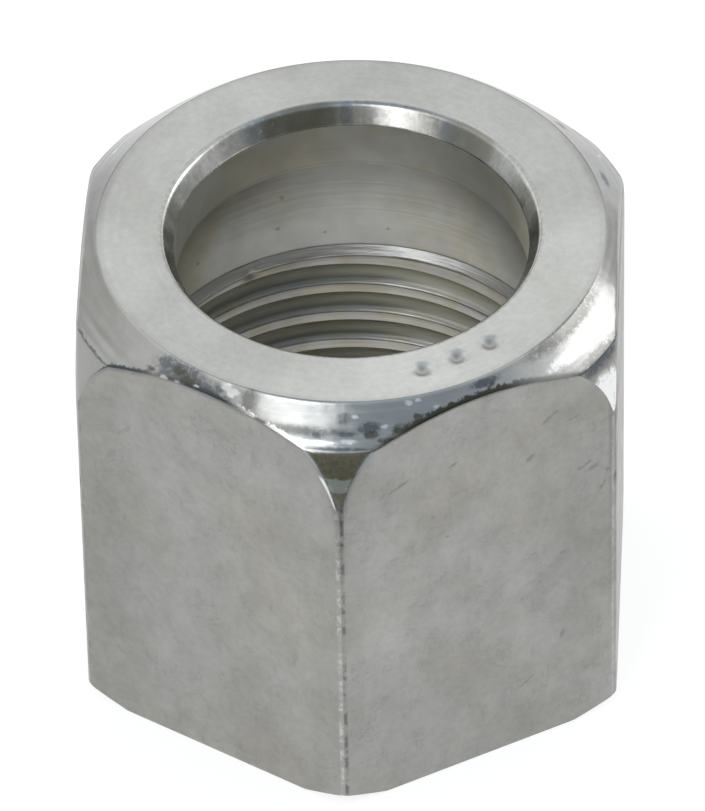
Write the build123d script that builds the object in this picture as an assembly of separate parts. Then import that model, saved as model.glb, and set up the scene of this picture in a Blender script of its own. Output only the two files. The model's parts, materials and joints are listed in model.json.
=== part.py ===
from build123d import *

import os
from math import cos, radians, tan

# Swivel nut for a 37 degree flared tube fitting, turned in one piece from hexagon bar.
# Millimetres. The origin is the centre of the threaded mouth face that the nut stands on, and
# +Z runs along the axis towards the shoulder end. Two corners of the hexagon lie on the Y axis.

# Hexagon bar
across_flats = 22.0
length = 20.7
edge_radius = 0.45

# Shoulder end, outside: a flat land, a chamfer, and a long round that runs out on the corners
top_land_inset = 0.6
top_chamfer_width = 1.55
top_chamfer_angle = 41.0
runout_depth = 4.5
runout_radius = 8.0
runout_margin = 0.02

# Mouth end, outside
base_corner_cut = 0.85
base_chamfer_angle = 35.0

# Inside, from the shoulder end down to the mouth
bore_diameter = 14.5
countersink_width = 0.475
countersink_angle = 60.0
lip_radius = 0.3
shoulder_thickness = 2.9
shoulder_cone_angle = 30.0
relief_diameter = 18.0
thread_start_angle = 60.0
threaded_depth = 11.7
thread_major_diameter = 19.05
thread_minor_diameter = 17.5
mouth_countersink_clearance = 0.55
mouth_countersink_angle = 90.0

# Radii that several features share
flat_radius = across_flats / 2
corner_radius = (flat_radius - edge_radius) / cos(radians(30)) + edge_radius
bore_radius = bore_diameter / 2
countersink_radius = bore_radius + countersink_width


def hexagon_bar():
    """The bar stock, with its six long edges slightly rounded and two corners on Y."""
    outline = RegularPolygon(radius=flat_radius, side_count=6, major_radius=False, rotation=30)
    bar = extrude(outline, amount=length)
    return fillet(bar.edges().filter_by(Axis.Z), edge_radius)


def turned_envelope():
    """The lathe's outside shape, which trims the corners of the bar at both ends."""
    land = flat_radius - top_land_inset
    chamfer = land + top_chamfer_width
    runout = corner_radius + runout_margin
    base = corner_radius - base_corner_cut
    chamfer_level = length - top_chamfer_width * tan(radians(top_chamfer_angle))
    runout_level = length - runout_depth
    base_level = (runout - base) * tan(radians(base_chamfer_angle))
    outside = Polyline((chamfer, chamfer_level), (land, length), (0, length), (0, 0), (base, 0))
    outside += Line((base, 0), (runout, base_level))
    outside += Line((runout, base_level), (runout, runout_level))
    outside += RadiusArc((runout, runout_level), (chamfer, chamfer_level), -runout_radius)
    return revolve(Plane.XZ * make_face(outside), Axis.Z)


def bored_cavity():
    """Everything bored from the axis outwards, from the shoulder's countersink to the mouth."""
    relief = relief_diameter / 2
    minor = thread_minor_diameter / 2
    mouth = (thread_major_diameter + mouth_countersink_clearance) / 2
    countersink_depth = countersink_width / tan(radians(countersink_angle / 2))
    shoulder_level = length - shoulder_thickness
    relief_top = shoulder_level - (relief - bore_radius) * tan(radians(shoulder_cone_angle))
    thread_top = threaded_depth - (relief - minor) / tan(radians(thread_start_angle / 2))
    mouth_depth = (mouth - minor) / tan(radians(mouth_countersink_angle / 2))
    wall = Polyline(
        (0, 0),
        (mouth, 0),
        (minor, mouth_depth),
        (minor, thread_top),
        (relief, threaded_depth),
        (relief, relief_top),
        (bore_radius, shoulder_level),
        (bore_radius, length - countersink_depth),
        (countersink_radius, length),
        (0, length),
        close=True,
    )
    return revolve(Plane.XZ * make_face(wall), Axis.Z)


def swivel_nut():
    """The finished nut: the bar trimmed outside, bored through, and its top lip rounded."""
    nut = (hexagon_bar() & turned_envelope()) - bored_cavity()
    top_face = nut.faces().sort_by(Axis.Z)[-1]
    lip = top_face.edges().filter_by(GeomType.CIRCLE).sort_by(SortBy.RADIUS)[0]
    return fillet(lip, lip_radius)


os.makedirs("parts", exist_ok=True)
export_step(swivel_nut(), "parts/swivel_nut.step")
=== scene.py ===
import json
from math import acos, atan2, cos, pi, radians, sin, sqrt, tan

import bmesh
import bpy
import numpy as np
from mathutils import Matrix, Vector


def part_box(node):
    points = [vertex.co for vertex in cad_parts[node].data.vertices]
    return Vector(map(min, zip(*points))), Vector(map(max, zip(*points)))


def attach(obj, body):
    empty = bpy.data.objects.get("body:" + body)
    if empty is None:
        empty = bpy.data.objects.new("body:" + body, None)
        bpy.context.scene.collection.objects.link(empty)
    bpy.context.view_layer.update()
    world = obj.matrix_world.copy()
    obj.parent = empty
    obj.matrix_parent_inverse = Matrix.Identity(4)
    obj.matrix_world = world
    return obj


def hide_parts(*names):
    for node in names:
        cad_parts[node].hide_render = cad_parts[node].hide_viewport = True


# A swivel nut, turned from hexagon bar and zinc plated. The mesh is worked out in millimetres in
# the part's own frame: the thread's axis is Z, it stands on z = 0, two corners lie on the Y axis.
# A bearing is an angle about the axis in degrees, from the front corner at -Y towards +X.
MM = 0.001

# Outside of the shoulder end, and the mouth end's chamfer
LAND_INSET = 0.6
CHAMFER_WIDTH = 1.55
CHAMFER_ANGLE = radians(41)
RUNOUT_DEPTH = 4.5
RUNOUT_RADIUS = 8.0
RUNOUT_MARGIN = 0.02
BASE_CORNER_CUT = 0.85
BASE_ANGLE = radians(35)

# Two faint turned ridges near the chamfer's outer edge
RIPPLE_START = 0.9
RIPPLE_PITCH = 0.28
RIPPLE_HEIGHT = 0.014

# Inside, from the shoulder end down
LIP_RADIUS = 0.3
COUNTERSINK_WIDTH = 0.475
HALF_CONE = radians(30)
SHOULDER_THICKNESS = 2.9
RELIEF_RADIUS = 9.0
THREADED_DEPTH = 11.7
MOUTH_RADIUS = 9.8

# 3/4-16 UNF thread, right-hand. The groove fades out between two levels, below the relief.
THREAD_MAJOR = 9.525
PITCH = 1.5875
CREST_LEVEL = 9.444
CREST_ANGLE = radians(93.33)
FADE_FROM = 10.75
FADE_TO = 11.65
FADE_CLEARANCE = 0.1

# How far edges are rounded over
CORNER_ROLL = 0.2
LAND_ROLL = 0.12
SHOULDER_ROLL = 0.07
SMALL_ROLL = 0.05
FINEST_ROLL = 0.0125

# Rows of the mesh on each surface, and levels of the rows in the lead-in cone and the relief.
# Between the two levels of the helix the rows climb with the thread.
FACE_ROWS = 19
CHAMFER_ROWS = 16
RUNOUT_ROWS = 7
FLAT_ROWS = 38
BASE_ROWS = 1
MOUTH_ROWS = 13
HELIX_LOW = 1.1
HELIX_HIGH = 11.2
LEAD_IN_LEVELS = [*np.linspace(11.24, 11.8, 15), 11.88, 12.0]
RELIEF_LEVELS = [13.0, 14.0, 15.0, 15.8]

# Points this close to a level or a radius count as on it, and those a little farther off, within
# the edge's reach or the surface's, still take the tone of that edge or surface
TOUCH = 0.01
EDGE_REACH = 0.05
SURFACE_REACH = 0.3

# The camera stands over the -Y corner, a little towards +X
CAMERA_DISTANCE = 431.8
CAMERA_ELEVATION = radians(42.98)
CAMERA_AZIMUTH = radians(3.33)
CAMERA_ROLL = radians(-1.19)
CAMERA_AIM_SIDE = -0.093
CAMERA_AIM_HEIGHT = 10.81
CAMERA_LENS = 532.95
CAMERA_SENSOR = 36.0


# ---- sizes from the frame
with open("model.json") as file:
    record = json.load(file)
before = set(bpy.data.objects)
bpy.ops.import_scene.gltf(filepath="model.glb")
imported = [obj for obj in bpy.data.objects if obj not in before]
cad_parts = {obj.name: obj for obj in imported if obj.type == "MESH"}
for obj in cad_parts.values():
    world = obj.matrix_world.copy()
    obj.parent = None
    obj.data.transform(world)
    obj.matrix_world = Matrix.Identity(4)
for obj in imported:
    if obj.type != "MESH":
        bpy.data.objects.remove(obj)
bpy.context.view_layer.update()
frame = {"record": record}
part_low, part_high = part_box("swivel_nut")
mounts = {mount["name"]: mount for mount in frame["record"]["mounts"]}

FLAT = part_high.x / MM
CORNER = part_high.y / MM
HEIGHT = part_high.z / MM
BORE = mounts["shoulder_bore"]["dims"]["r_mm"]
MINOR = mounts["thread"]["dims"]["r_mm"]

EDGE = (FLAT / cos(pi / 6) - CORNER) / (1 / cos(pi / 6) - 1)
EDGE_ANGLE = atan2(EDGE * sin(pi / 6), CORNER - EDGE + EDGE * cos(pi / 6))
LAND = FLAT - LAND_INSET
CHAMFER = LAND + CHAMFER_WIDTH
CHAMFER_LEVEL = HEIGHT - CHAMFER_WIDTH * tan(CHAMFER_ANGLE)
CHAMFER_MEETS = acos(FLAT / CHAMFER)
RIPPLE_LEVEL = HEIGHT - RIPPLE_START * tan(CHAMFER_ANGLE)
BASE = CORNER - BASE_CORNER_CUT
COUNTERSINK = BORE + COUNTERSINK_WIDTH
SUNK_LEVEL = HEIGHT - COUNTERSINK_WIDTH / tan(HALF_CONE)
SHOULDER_LEVEL = HEIGHT - SHOULDER_THICKNESS
RELIEF_TOP = SHOULDER_LEVEL - (RELIEF_RADIUS - BORE) * tan(HALF_CONE)
THREAD_TOP = THREADED_DEPTH - (RELIEF_RADIUS - MINOR) / tan(HALF_CONE)
GROOVE_ROOT_HALF = PITCH / 16


# ---- shape of the nut
def bump_of(away):
    """A round hill: one at nought, falling smoothly to nothing at one."""
    return np.clip(1 - away**2, 0, 1) ** 2


def ramp(value, start, stop):
    """Nought before a value, one past another, and a straight slope between them."""
    return np.clip((value - start) / (stop - start), 0, 1)


def smooth_min(a, b, roll):
    """The lesser of two distances, with the edge between them rounded over."""
    h = np.maximum(roll - np.abs(a - b), 0) / roll
    return np.minimum(a, b) - h * h * roll / 4


def smooth_max(a, b, roll):
    """The greater of two distances, with the corner between them rounded over."""
    return -smooth_min(-a, -b, roll)


def runout_centre():
    """Centre of the arc that carries the chamfer down and out onto the corners."""
    low = np.array([CORNER + RUNOUT_MARGIN, HEIGHT - RUNOUT_DEPTH])
    top = np.array([CHAMFER, CHAMFER_LEVEL])
    chord = top - low
    inward = np.array([-chord[1], chord[0]]) / np.hypot(*chord)
    rise = sqrt(RUNOUT_RADIUS**2 - chord @ chord / 4)
    return (low + top) / 2 + inward * rise


ARC_R, ARC_Z = runout_centre()


def bar_radius(angle):
    """Distance from the axis to the rounded hexagon, at an angle about the axis."""
    from_flat = (angle + pi / 6) % (pi / 3) - pi / 6
    from_corner = pi / 6 - np.abs(from_flat)
    centre = CORNER - EDGE
    flat = FLAT / np.cos(from_flat)
    rounded = centre * np.cos(from_corner)
    rounded = rounded + np.sqrt(np.maximum(EDGE**2 - (centre * np.sin(from_corner)) ** 2, 0))
    return np.where(from_corner < EDGE_ANGLE, rounded, flat)


def lower_edge(bar):
    """Level at which the chamfer, or the run-out below it, meets a bar of some radius."""
    on_cone = HEIGHT - (bar - LAND) * tan(CHAMFER_ANGLE)
    on_arc = ARC_Z + np.sqrt(np.maximum(RUNOUT_RADIUS**2 - (bar - ARC_R) ** 2, 0))
    return np.where(bar > CHAMFER + 1e-6, on_arc, on_cone)


def column_angles():
    """Angles of the mesh's columns: fine at the corners, and on every angle where a form starts."""
    rounded = pi / 6 - EDGE_ANGLE
    half = np.concatenate([
        np.linspace(0, CHAMFER_MEETS, 20, endpoint=False),
        np.linspace(CHAMFER_MEETS, rounded, 9, endpoint=False),
        np.linspace(rounded, pi / 6, 5, endpoint=False),
    ])
    sector = np.sort(np.concatenate([half, pi / 3 - half[:0:-1], [pi / 6]]))
    return np.concatenate([sector + k * pi / 3 for k in range(6)])


def ripple(level):
    """The turned ridges' height over the chamfer, at a level."""
    turns = (RIPPLE_LEVEL - level) / RIPPLE_PITCH
    inside = (turns > 0) & (level > CHAMFER_LEVEL)
    return np.where(inside, RIPPLE_HEIGHT * (np.cos(2 * pi * turns) - 1) / 2, 0)


def outside_radius(angle, level):
    """The trimmed hexagon's radius at an angle and a level."""
    cone = LAND + (HEIGHT - level) / tan(CHAMFER_ANGLE) + ripple(level)
    arc = ARC_R + np.sqrt(np.maximum(RUNOUT_RADIUS**2 - (level - ARC_Z) ** 2, 0))
    arc = np.where(level < ARC_Z, ARC_R + RUNOUT_RADIUS, arc)
    bar = bar_radius(angle)
    base = BASE + level / tan(BASE_ANGLE)
    shape = smooth_min(smooth_min(cone, arc, SMALL_ROLL), bar, CORNER_ROLL)
    shape = smooth_min(shape, base, SMALL_ROLL)
    return np.minimum(shape, bar - SMALL_ROLL + level)


def groove_radius(angle, level):
    """The thread's groove at an angle and a level: 60 degree flanks, a flat root, a run-out."""
    turns = (level - CREST_LEVEL) / PITCH - (angle - CREST_ANGLE) / (2 * pi) - 0.5
    groove = np.round(turns)
    off_centre = np.abs(turns - groove) * PITCH
    centre_level = level - (turns - groove) * PITCH
    fade = ramp(centre_level, FADE_FROM, FADE_TO)
    fade = fade * fade * (3 - 2 * fade)
    flank = np.maximum(off_centre - GROOVE_ROOT_HALF, 0) / tan(HALF_CONE)
    return THREAD_MAJOR - flank - fade * (THREAD_MAJOR - MINOR + FADE_CLEARANCE)


def inside_radius(angle, level):
    """The bored wall's radius between the mouth and the relief."""
    mouth = MOUTH_RADIUS - level
    start = MINOR + (level - THREAD_TOP) * tan(HALF_CONE)
    wall = smooth_max(mouth, smooth_max(MINOR + 0 * level, start, SMALL_ROLL), SMALL_ROLL)
    widest = np.where(level > MOUTH_RADIUS / 2, RELIEF_RADIUS, MOUTH_RADIUS)
    return smooth_max(smooth_min(wall, widest, FINEST_ROLL), groove_radius(angle, level), SMALL_ROLL)


# How far the rows nearest to a rounded edge lie from it, and the most of the way that may be
CROWD = np.array([0.03, 0.07, 0.12])
CROWD_SHARE = np.array([0.09, 0.18, 0.28])


def crowded(start, stop, middle):
    """Levels from start to stop for each column, crowded at both ends where edges are rounded."""
    span = np.abs(stop - start) + 1e-9
    near = np.minimum(CROWD[:, None] / span, CROWD_SHARE[:, None])
    inner = np.linspace(0, 1, middle + 2)[1:-1, None]
    spread = near[-1] + inner * (1 - 2 * near[-1])
    share = np.concatenate([near, spread, 1 - near[::-1], np.ones((1, len(span)))])
    return start + share * (stop - start)


class Skin:
    """Rows of vertices round the axis, joined into one closed skin as they are added."""

    def __init__(self, angles):
        self.angles = angles
        self.points = []
        self.faces = []
        self.finishes = []
        self.last = None

    def vertices(self, angle, radius, level):
        """Adds vertices at angles about the axis, radii and levels, and returns their numbers."""
        first = len(self.points)
        xyz = np.broadcast_arrays(radius * np.cos(angle), radius * np.sin(angle), level)
        self.points.extend(np.stack(xyz, -1))
        return np.arange(first, len(self.points))

    def quads(self, rows, finish):
        """A face for each column of four rows of corners, unless fewer than three differ."""
        for corners in zip(*rows):
            kept = tuple(int(c) for i, c in enumerate(corners) if c != corners[i - 1])
            if len(set(kept)) >= 3:
                self.faces.append(kept)
                self.finishes.append(finish)

    def band(self, a, b, finish):
        """Faces between two rows of vertices that each run once round."""
        self.quads((a, b, np.roll(b, -1), np.roll(a, -1)), finish)

    def row(self, radius, level, finish):
        """Adds a row and the band of faces that joins it to the row before."""
        new = self.vertices(self.angles, radius, level)
        if self.last is not None:
            self.band(self.last, new, finish)
        self.last = new
        return new

    def rows(self, radii, levels, finish):
        """Adds level rows, each with one radius all round."""
        for radius, level in np.broadcast(radii, levels):
            self.row(radius, level, finish)

    def cone(self, start, stop, shares, finish):
        """Adds rows at shares of the way from one radius and level to another."""
        radii, levels = (a + np.array(shares) * (b - a) for a, b in zip(start, stop))
        self.rows(radii, levels, finish)


# Material numbers; the six flats have one each, from FLATS on
FACE, CHAMFERED, THREAD, WALL, SUNK, FLATS = range(6)


def arc_points(centre_r, centre_z, radius, start, stop, count):
    """Points on an arc in the half plane, start and stop being directions from its centre."""
    turn = np.linspace(start, stop, count)
    return centre_r + radius * np.cos(turn), centre_z + radius * np.sin(turn)


def top_and_outside(skin):
    """The top face, its outer edge, the chamfer, the run-out, the flats and the base chamfer."""
    lip_end = COUNTERSINK + LIP_RADIUS * tan(HALF_CONE)
    land_end = LAND - LAND_ROLL * tan(CHAMFER_ANGLE / 2)
    first = skin.row(lip_end, HEIGHT, FACE)
    skin.rows(np.linspace(lip_end, land_end, FACE_ROWS)[1:], HEIGHT, FACE)
    radii, levels = arc_points(land_end, HEIGHT - LAND_ROLL, LAND_ROLL, pi / 2, pi / 2 - CHAMFER_ANGLE, 4)
    skin.rows(radii[1:], levels[1:], CHAMFERED)
    bar = bar_radius(skin.angles)
    ground = np.zeros(len(bar))
    start = ground + levels[-1]
    meets = lower_edge(bar)
    broken = np.maximum(meets, CHAMFER_LEVEL)
    foot = np.maximum(bar - BASE, 0) * tan(BASE_ANGLE)
    zones = [
        (crowded(start, broken, CHAMFER_ROWS), CHAMFERED),
        (crowded(broken, meets, RUNOUT_ROWS), CHAMFERED),
        (crowded(meets, foot, FLAT_ROWS), FLATS),
        (crowded(foot, ground, BASE_ROWS), FLATS),
    ]
    for zone, finish in zones:
        for level in zone:
            skin.row(outside_radius(skin.angles, level), level, finish)
    return first


def mouth(skin):
    """The flat ring that the nut stands on, and the mouth's countersink down to full thread."""
    outer = outside_radius(skin.angles, 0.0)
    for share in (0.25, 0.5, 0.75, 0.97):
        skin.row(outer + share * (MOUTH_RADIUS - outer), 0, FLATS)
    skin.row(MOUTH_RADIUS - 0.02, 0.02, FLATS)
    for level in np.linspace(0.1, HELIX_LOW, MOUTH_ROWS):
        skin.row(inside_radius(skin.angles, level), level, THREAD)


def helix(skin):
    """The threaded wall, with rows that climb with the thread. Its ends lie on two level rows."""
    angles = skin.angles
    edge = GROOVE_ROOT_HALF + (THREAD_MAJOR - MINOR) * tan(HALF_CONE)
    half = [GROOVE_ROOT_HALF, edge - SMALL_ROLL, edge, edge + SMALL_ROLL]
    phases = sorted([-p for p in half] + [0.0] + half + [PITCH / 2])
    first_turn = int((HELIX_LOW - CREST_LEVEL) / PITCH - 2)
    last_turn = int((HELIX_HIGH - CREST_LEVEL) / PITCH + 2)
    centres = [CREST_LEVEL + (turn + 0.5) * PITCH for turn in range(first_turn, last_turn)]
    ladder = np.array([centre + phase for centre in centres for phase in phases])
    levels = ladder[:, None] + (angles - CREST_ANGLE) / (2 * pi) * PITCH
    top = skin.vertices(angles, inside_radius(angles, HELIX_HIGH), HELIX_HIGH)
    above = levels > HELIX_LOW + TOUCH
    inner = above & (levels < HELIX_HIGH - TOUCH)
    turned = np.broadcast_to(angles, levels.shape)[inner]
    grid = np.where(above, top, skin.last)
    grid[inner] = skin.vertices(turned, inside_radius(turned, levels[inner]), levels[inner])
    right = np.roll(grid, -1, axis=1)
    one_turn_up = np.minimum(np.arange(len(ladder)) + len(phases), len(ladder) - 1)
    right[:, -1] = grid[one_turn_up, 0]
    for row in range(len(ladder) - 1):
        skin.quads((grid[row], grid[row + 1], right[row + 1], right[row]), THREAD)
    skin.last = top


def recess_and_bore(skin, first):
    """Up from the thread: lead-in cone, relief, shoulder, bore, countersink and its rounded lip."""
    for level in LEAD_IN_LEVELS:
        finish = THREAD if level < THREADED_DEPTH + 0.02 else WALL
        skin.row(inside_radius(skin.angles, level), level, finish)
    skin.rows(RELIEF_RADIUS, [*RELIEF_LEVELS, RELIEF_TOP - 0.1, RELIEF_TOP], WALL)
    skin.cone((RELIEF_RADIUS, RELIEF_TOP), (BORE, SHOULDER_LEVEL), (0.05, 0.5, 0.9), WALL)
    roll = SHOULDER_ROLL
    skin.rows(*arc_points(BORE + roll, SHOULDER_LEVEL, roll, pi * 4 / 3, pi, 5), WALL)
    middle = (SHOULDER_LEVEL + SUNK_LEVEL) / 2
    skin.rows(BORE, [SHOULDER_LEVEL + 0.15, middle, SUNK_LEVEL - 0.08, SUNK_LEVEL - 0.02], WALL)
    tangent = LIP_RADIUS * tan(HALF_CONE)
    lip_start = (COUNTERSINK - tangent * sin(HALF_CONE), HEIGHT - tangent * cos(HALF_CONE))
    skin.cone((BORE, SUNK_LEVEL), lip_start, (0.03, 0.12, 0.5, 0.9, 1.0), SUNK)
    centre = (COUNTERSINK + tangent, HEIGHT - LIP_RADIUS)
    radii, levels = arc_points(*centre, LIP_RADIUS, pi - HALF_CONE, pi / 2, 7)
    skin.rows(radii[1:-1], levels[1:-1], SUNK)
    skin.band(skin.last, first, SUNK)


# ---- dents
def direction(bearing):
    """The level unit vector at a bearing."""
    about = radians(bearing)
    return np.array([sin(about), -cos(about), 0])


def place_at(bearing, radius, level):
    """The point at a bearing, a radius and a level."""
    return radius * direction(bearing) + np.array([0, 0, level])


# Nicks along the corners: bearing, level, half length, depth
CORNER_NICKS = [
    (0, 10.2, 0.32, 0.1), (0, 7.9, 0.26, 0.08), (0, 6.3, 0.2, 0.06), (0, 4.9, 0.24, 0.07),
    (0, 2.3, 0.3, 0.08), (0, 14.9, 0.22, 0.05), (60, 13, 0.3, 0.08), (60, 9.8, 0.26, 0.06),
    (60, 5.8, 0.3, 0.08), (-60, 12.1, 0.28, 0.06), (-60, 4.4, 0.34, 0.08), (120, 11, 0.34, 0.08),
    (120, 3.6, 0.24, 0.06), (180, 13.4, 0.3, 0.08), (180, 6.7, 0.24, 0.07), (-120, 9.1, 0.32, 0.07),
]
NICK_HALF_WIDTH = 0.3

# The notch in the first thread crest, with its half sizes along X, Y and Z
NOTCH_BEARING = 212
NOTCH_LEVEL = 11.2
NOTCH_HALF = (0.45, 0.45, 0.4)
NOTCH_DEPTH = 0.10

# Three plain punch dimples on the top face: bearing, radius. Their rims' place and width are
# shares of the punch's radius.
PUNCHES = [(21.0, 9.0), (31.0, 8.9), (41.0, 8.95)]
PUNCH_RADIUS = 0.46
PUNCH_DEPTH = 0.2
PUNCH_RIM = 0.03
PUNCH_RIM_PLACE = 1.12
PUNCH_RIM_WIDTH = 0.16


def dent(points, centre, half, depth, push):
    """Pushes points near a centre along a direction, most at the centre. Half sizes are X, Y, Z."""
    away = np.linalg.norm((points - centre) / half, axis=1)
    return points + depth * bump_of(away)[:, None] * push


def punch(points, bearing, radius):
    """A round dimple in the top face with a slightly raised rim."""
    off = points - place_at(bearing, radius, HEIGHT)
    away = np.linalg.norm(off[:, :2], axis=1) / PUNCH_RADIUS
    on_face = np.abs(off[:, 2]) < TOUCH
    bowl = -PUNCH_DEPTH * np.clip(1 - away**2, 0, 1) ** 1.5
    rim = PUNCH_RIM * np.exp(-((away - PUNCH_RIM_PLACE) / PUNCH_RIM_WIDTH) ** 2)
    moved = points.copy()
    moved[:, 2] += np.where(on_face, bowl + np.where(away > 1, rim, 0), 0)
    return moved


def worn(points):
    """The nicks on the corners, the notch in the first thread crest, and the punch dimples."""
    for bearing, level, half, depth in CORNER_NICKS:
        size = np.array([NICK_HALF_WIDTH, NICK_HALF_WIDTH, half])
        points = dent(points, place_at(bearing, CORNER, level), size, depth, -direction(bearing))
    notch = place_at(NOTCH_BEARING, MINOR, NOTCH_LEVEL)
    points = dent(points, notch, np.array(NOTCH_HALF), NOTCH_DEPTH, direction(NOTCH_BEARING))
    for bearing, radius in PUNCHES:
        points = punch(points, bearing, radius)
    return points


# ---- stains, and painted light and shade, carried by the mesh
# Stains on the chamfer and round the countersink, with painted highlights at the corner at 60 degrees:
# bearing, radius, half length round the nut, half width. The countersink's are those with a radius of 7.5.
STAINS_AND_HIGHLIGHTS = {
    "olive": [
        (6.5, 11.41, 0.5, 0.22), (9.5, 11.62, 0.7, 0.12), (16.4, 11.05, 0.36, 0.2),
        (33.8, 10.73, 0.3, 0.14), (-34.2, 10.86, 0.75, 0.3), (-37.6, 10.72, 0.55, 0.24),
        (-44, 11.1, 0.4, 0.12), (12, 11.35, 0.3, 0.14), (25.5, 10.98, 0.5, 0.16),
        (21, 11.05, 0.45, 0.18), (130, 10.9, 0.6, 0.25), (175, 11.2, 0.6, 0.2), (-29.5, 10.9, 0.3, 0.16),
        (141, 7.5, 1.8, 1), (197, 7.5, 2, 0.9), (208, 7.5, 0.8, 0.5),
    ],
    "slate": [
        (-36.5, 10.8, 2.2, 0.66), (-27, 10.68, 0.3, 0.24), (-4.4, 11.44, 0.5, 0.14),
        (0, 11.85, 2.4, 0.09), (6, 11.2, 0.8, 0.28), (1.5, 11.38, 0.7, 0.12), (-41, 10.72, 0.9, 0.24),
        (33, 10.6, 1.1, 0.2), (110, 10.9, 0.8, 0.2), (-150, 11, 0.9, 0.2), (59, 12.03, 1.9, 0.13),
        (-30.5, 10.86, 1.2, 0.3), (-22.5, 11.08, 1.2, 0.14), (213, 7.5, 1.2, 0.5), (184, 7.5, 0.45, 0.5),
        (149, 7.5, 0.8, 0.5),
    ],
    "dull": [
        (-19.8, 10.72, 0.55, 0.65), (-8.5, 11.33, 3, 0.22), (58, 10.56, 4.4, 0.46),
        (60, 11.9, 2.8, 0.42), (-25.5, 11, 0.6, 0.3), (1, 10.9, 0.45, 0.3), (13, 11.3, 0.7, 0.25),
    ],
    "pale": [
        (3.3, 10.86, 0.15, 0.12), (14.9, 10.58, 0.18, 0.12), (20.4, 10.86, 0.17, 0.13),
        (-40, 11.12, 0.24, 0.12), (-36.8, 11.05, 0.16, 0.12), (-32.2, 10.92, 0.18, 0.12),
        (-25.6, 10.56, 0.36, 0.2), (-23.6, 10.61, 0.34, 0.15), (-24.4, 10.74, 0.2, 0.11),
        (120, 11.5, 0.2, 0.12), (-118, 11.3, 0.2, 0.12), (-4.6, 11.66, 1.1, 0.1), (2, 11.62, 0.5, 0.1),
        # The pale marks at bearings 57, 58.2 and 61.6 are painted highlights on the corner at 60 degrees
        (57, 11.24, 2.8, 0.32), (58.2, 12.42, 1.1, 0.34), (61.6, 12.42, 0.5, 0.3),
        (17.7, 10.55, 0.16, 0.1), (-12.5, 11.6, 0.9, 0.1), (9, 11.2, 0.16, 0.1),
        (-28.5, 11.02, 0.14, 0.09), (27.5, 10.86, 0.14, 0.1),
    ],
}

# Stretches of the chamfer's curved lower edges that are painted pale, dark and slate:
# bearing of the middle, half the angle
EDGE_STRETCHES = {
    "pale_edge": [(-15.0, 10.0), (-46.0, 3.0), (-150.0, 15.0), (152.0, 12.0)],
    "dark_edge": [(26.0, 21.0), (128.0, 9.0)],
    "slate_edge": [(-50.0, 8.0), (-28.0, 9.0), (-172.0, 8.0)],
}

# Broad areas of the chamfer and the top face that are darker or lighter: bearing, radius,
# half length, half width, how much. Those on the chamfer are painted light and shade.
CHAMFER_AREAS = [
    (-104, 11, 5, 2.2, -0.4), (116, 11, 4.5, 2.2, -0.2), (44, 10.8, 2, 1, 0.15),
    (-8, 11.36, 3.4, 0.28, -0.45), (30, 11, 1.6, 1, 0.08), (-24.7, 10.6, 0.8, 0.4, -0.14),
    (76, 10.9, 2, 1, -0.08), (60, 12, 3, 0.3, -0.2), (-18, 11.1, 0.9, 0.35, -0.3),
    (-6, 10.9, 0.7, 0.9, -0.14), (0.5, 10.7, 0.6, 0.6, 0.16), (-52, 11, 2, 1.2, -0.07),
]
FACE_AREAS = [
    (20, 9.5, 8, 6, 0.24), (-8, 10, 4, 3, 0.06), (75, 9.5, 6, 5, 0.19), (-75, 9.5, 7, 5, 0.09),
    (-38, 9.5, 4, 4, 0.05), (-100, 10.4, 3.5, 0.5, -0.16), (112, 10.4, 3.5, 0.5, -0.22),
    (-140, 9.5, 5, 5, 0.09), (180, 9.5, 6, 4, -0.02),
]

# Broad areas of painted shade and painted light on the flats: bearing of the flat, across it, level,
# half width, half height, how much
FLAT_AREAS = [
    (-30, -5.4, 9, 3.4, 14, -0.12), (30, 4.6, 12, 3.2, 9, -0.09), (150, 4, 12, 4, 10, -0.12),
    (-90, -4, 6, 3.5, 9, -0.12), (-150, 3.5, 13, 4, 9, -0.1), (30, -4.4, 9, 2.4, 7, 0.09),
    (-30, 1.8, 13.5, 3.6, 4, 0.05), (90, -5.6, 16, 2.6, 6, -0.22), (90, -5.6, 9, 2.6, 6, -0.12),
    (-150, -2.5, 8, 3, 5, 0.06), (-30, 3.6, 8.5, 3, 5.5, 0.12), (30, -5.2, 17.5, 2.4, 3, -0.08),
    (30, 2, 1.5, 7, 3, -0.04), (90, 0, 17, 9, 9, -0.27), (30, 4.6, 9, 3.5, 4, -0.05),
    (30, -3, 4, 3.5, 3.5, -0.04),
]

# The top face's outer rim is duller. The chamfer's rolled edge below it has a painted highlight at the
# front, up to one bearing to each side, and loses most of that by another.
RIM_WIDTH = 0.3
RIM_DULLNESS = 0.12
ROLLED_HIGHLIGHT = 0.45
ROLLED_LOSS = 0.35
ROLLED_BEARINGS = (22, 42)

# The recess's painted light and shade: its base, its gain to the right and its losses at both sides
RECESS_BASE = 1.07
RECESS_GAIN = 0.38
RECESS_LEFT_LOSS = 0.17
RECESS_RIGHT_LOSS = 0.12

# The shoulder's edge has painted shade up to a reach from its middle, and the countersink's foot is paler
# by painted light
SHOULDER_SHADE = 0.36
SHOULDER_MIDDLE = SHOULDER_LEVEL - 0.03
SHOULDER_REACH = 0.13
SUNK_FOOT_GAIN = 1.5
SUNK_FOOT_REACH = 0.04

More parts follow.
